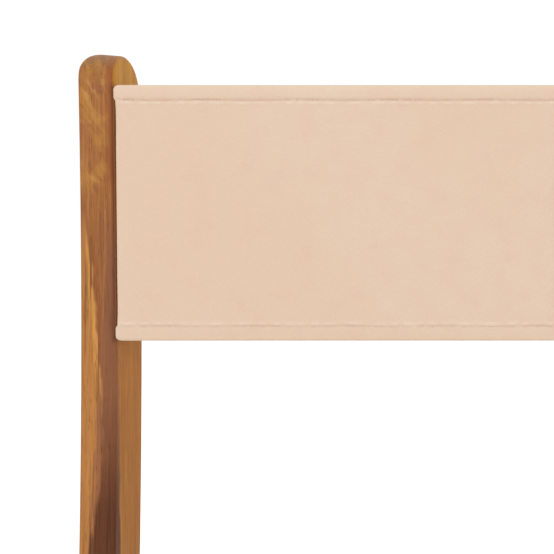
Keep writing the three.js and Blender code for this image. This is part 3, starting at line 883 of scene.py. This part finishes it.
def panel_builder(name, half_width, height, dip_at, place, overhang):
    """A hemmed sheet, made in a panel's own axes: X across, Y inward, Z along.

    Returns the sheet, its flat size and half the width of its flat front.
    """
    half_flat = half_width - cloth_thickness / 2 - corner_radius
    turn_run = corner_radius * math.pi / 2
    half_run = half_flat + turn_run + turn_in - corner_radius
    fold = fold_rise * math.pi / 2
    hem_end = fold + hem_allowance

    def across_at(distance, inset):
        """The place across and inwards at a distance from the middle of the sheet."""
        sign = 1 if distance >= 0 else -1
        past = abs(distance) - half_flat
        radius = corner_radius - inset
        if past <= 0:
            return distance, inset
        if past <= turn_run:
            angle = past / corner_radius
            x = sign * (half_flat + radius * math.sin(angle))
            return x, corner_radius - radius * math.cos(angle)
        return sign * (half_flat + radius), corner_radius + past - turn_run

    def along_at(v):
        """The inset and the place along at v from the bottom fold; past the folds is the hem."""
        past = max(-v, v - height)
        if past < 0:
            return 0.0, fold_rise / 2 + v * (height - fold_rise) / height
        if past < fold:
            angle = past / (fold_rise / 2)
            inset = fold_rise / 2 * (1 - math.cos(angle))
            back = fold_rise / 2 * (1 - math.sin(angle))
        else:
            inset, back = fold_rise, fold_rise / 2 + past - fold
        return inset, back if v < height / 2 else height - back

    def sheet_point(u, v):
        """Where a point of the flat sheet lies on the panel, and the painted light there."""
        inset, z = along_at(v)
        x, y = across_at(u, inset)
        sign = 1 if u >= 0 else -1
        near_side = min(1.0, max(0.0, (abs(u) - half_flat + side_blend) / side_blend))
        rounding = max(0.0, hem_corner - from_edge(z, height))
        loss = hem_corner - math.sqrt(hem_corner**2 - min(rounding, hem_corner) ** 2)
        hem_share = plain_overhang + (1 - plain_overhang) * in_hem(z, height)
        proud = overhang * hem_share * bell(max(0.0, y), overhang_reach)
        x += sign * near_side * (proud - loss)
        y += dip_at(min(1.0, abs(u) / half_flat), z / height, u, z)
        return Vector((x, y, z)), painted_light_at(u, z, height) if 0 <= v <= height else 0.0

    us = steps_between(
        [-half_run, -half_flat - turn_run, -half_flat, half_flat, half_flat + turn_run, half_run],
        [turn_in_step, corner_step, face_step, corner_step, turn_in_step],
    )
    fine = hem_line + edge_zone
    edge_steps = [hem_end_step, fold_step, edge_step]
    vs = steps_between(
        [-hem_end, -fold, 0.0, fine, height - fine, height, height + fold, height + hem_end],
        edge_steps + [middle_step] + edge_steps[::-1],
    )
    columns, rows = len(us) - 1, len(vs) - 1
    bpy.ops.object.select_all(action="DESELECT")
    bpy.ops.mesh.primitive_grid_add(x_subdivisions=columns, y_subdivisions=rows, size=2)
    sheet = bpy.context.object
    sheet.name = name
    mesh = sheet.data
    painted_light = mesh.attributes.new("painted_light", "FLOAT", "POINT")
    uv_of = {}
    for vertex in mesh.vertices:
        u = us[round((vertex.co.x + 1) / 2 * columns)]
        v = vs[round((vertex.co.y + 1) / 2 * rows)]
        point, painted_light.data[vertex.index].value = sheet_point(u, v)
        uv_of[vertex.index] = (u, v)
        vertex.co = place @ point
    while mesh.uv_layers:
        mesh.uv_layers.remove(mesh.uv_layers[0])
    layer = mesh.uv_layers.new(name="cloth")
    for loop in mesh.loops:
        layer.data[loop.index].uv = uv_of[loop.vertex_index]
    body = sheet.modifiers.new("body", "SOLIDIFY")
    body.thickness = cloth_thickness
    body.offset = 0
    bpy.ops.object.modifier_apply(modifier="body")
    bpy.ops.object.shade_smooth()
    mesh.materials.append(cloth_finish)
    return sheet, (2 * half_run, height + 2 * hem_end), half_flat


stitch_pitch = 0.0027
stitch_length = 0.0021
stitch_radius = 0.0003
stitch_rise = 0.00014  # above the cloth's own surface
stitch_tilt = 0.00025
stitch_seed = 7
row_end = 0.002  # without stitches, at each end of a row
hidden_share = 0.2  # of the stitches, pulled down into the cloth


def stitch_rows(name, half_flat, height, dip_at, place):
    """Rows of lockstitch along both hems, seen on both faces of the panel."""
    bpy.ops.object.select_all(action="DESELECT")
    bpy.ops.mesh.primitive_uv_sphere_add(segments=6, ring_count=4, radius=1)
    thread = bpy.context.object
    thread.name = name
    bead = [vertex.co.copy() for vertex in thread.data.vertices]
    faces = [tuple(polygon.vertices) for polygon in thread.data.polygons]
    points = []
    polygons = []
    count = int(2 * (half_flat - row_end) / stitch_pitch)
    jitter = random.Random(stitch_seed)
    proud = cloth_thickness / 2 + stitch_rise
    for z in (hem_line, height - hem_line):
        for y in (-proud, fold_rise + proud):
            for index in range(count):
                x = (index + 0.5 - count / 2) * stitch_pitch
                lift = dip_at(abs(x) / half_flat, z / height, x, z)
                if jitter.random() < hidden_share:
                    continue
                tilt = jitter.uniform(-stitch_tilt, stitch_tilt)
                first = len(points)
                for corner in bead:
                    local = Vector((
                        x + corner.z * stitch_length / 2,
                        y + lift + corner.y * stitch_radius,
                        z + corner.x * stitch_radius + corner.z * tilt,
                    ))
                    points.append(place @ local)
                polygons += [tuple(first + corner for corner in face) for face in faces]
    mesh = bpy.data.meshes.new(name)
    mesh.from_pydata([tuple(point) for point in points], [], polygons)
    thread.data = mesh
    bpy.ops.object.mode_set(mode="EDIT")
    bpy.ops.mesh.select_all(action="SELECT")
    bpy.ops.mesh.normals_make_consistent(inside=False)
    bpy.ops.object.mode_set(mode="OBJECT")
    bpy.ops.object.shade_smooth()
    mesh.materials.append(thread_finish)
    return thread


# ---- Back cloth ----
# The panel stands flush with the fronts of the posts, with its hems a little proud. Its ends
# turn back at the inner arrises and run along the inner faces of the posts.

back_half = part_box("back_fabric")[1].x
back_hem_rise = 0.0009
back_overhang = 0.0021  # of the hems, over the eased arris of each post
back_slack = 0.0012


def back_dip(share, rise, u, z):
    slack = back_slack * (1 - share**2) * math.sin(math.pi * min(1, max(0, rise)))
    return slack + pucker(u, z, back_height, back_hem_rise) + cloth_thickness / 2


back_sheet, back_cut, back_flat = panel_builder(
    "back_cloth", back_half, back_height, back_dip, back_place, back_overhang
)
back_thread = stitch_rows("back_stitches", back_flat, back_height, back_dip, back_place)
for piece in (back_sheet, back_thread):
    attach(piece, "back_frame")
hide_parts("back_fabric")

# ---- Seat cloth ----
# The sling hangs between the seat rails, lowest along its middle, and is hemmed along the two
# cross rails. Its ends turn down inside the rails.

seat_low, seat_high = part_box("seat_fabric")
seat_length = seat_high.y - seat_low.y
seat_half = seat_high.x
seat_axes = (Vector((1, 0, 0)), Vector((0, 0, -1)), Vector((0, 1, 0)))
seat_turn = Matrix(seat_axes).transposed().to_4x4()
seat_place = Matrix.Translation(Vector((0, seat_low.y, seat_high.z))) @ seat_turn
seat_sag = 0.0128
hem_sag = 0.88  # of the hems, as a share of the sag
middle_sag = 0.16
ripple_height = 0.0004


def seat_dip(share, rise, u, z):
    middle = math.sin(math.pi * min(1, max(0, rise)))
    sag = seat_sag * (1 - share**2) * (hem_sag + middle_sag * middle)
    ripple = ripple_height * math.sin(z * 61 + 5 * share) * (1 - share) * middle
    return sag + ripple + pucker(u, z, seat_length, 0.0) + cloth_thickness / 2


seat_sheet, seat_cut, seat_flat = panel_builder(
    "seat_cloth", seat_half, seat_length, seat_dip, seat_place, overhang=0.0
)
seat_thread = stitch_rows("seat_stitches", seat_flat, seat_length, seat_dip, seat_place)
for piece in (seat_sheet, seat_thread):
    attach(piece, "seat_frame")
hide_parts("seat_fabric")
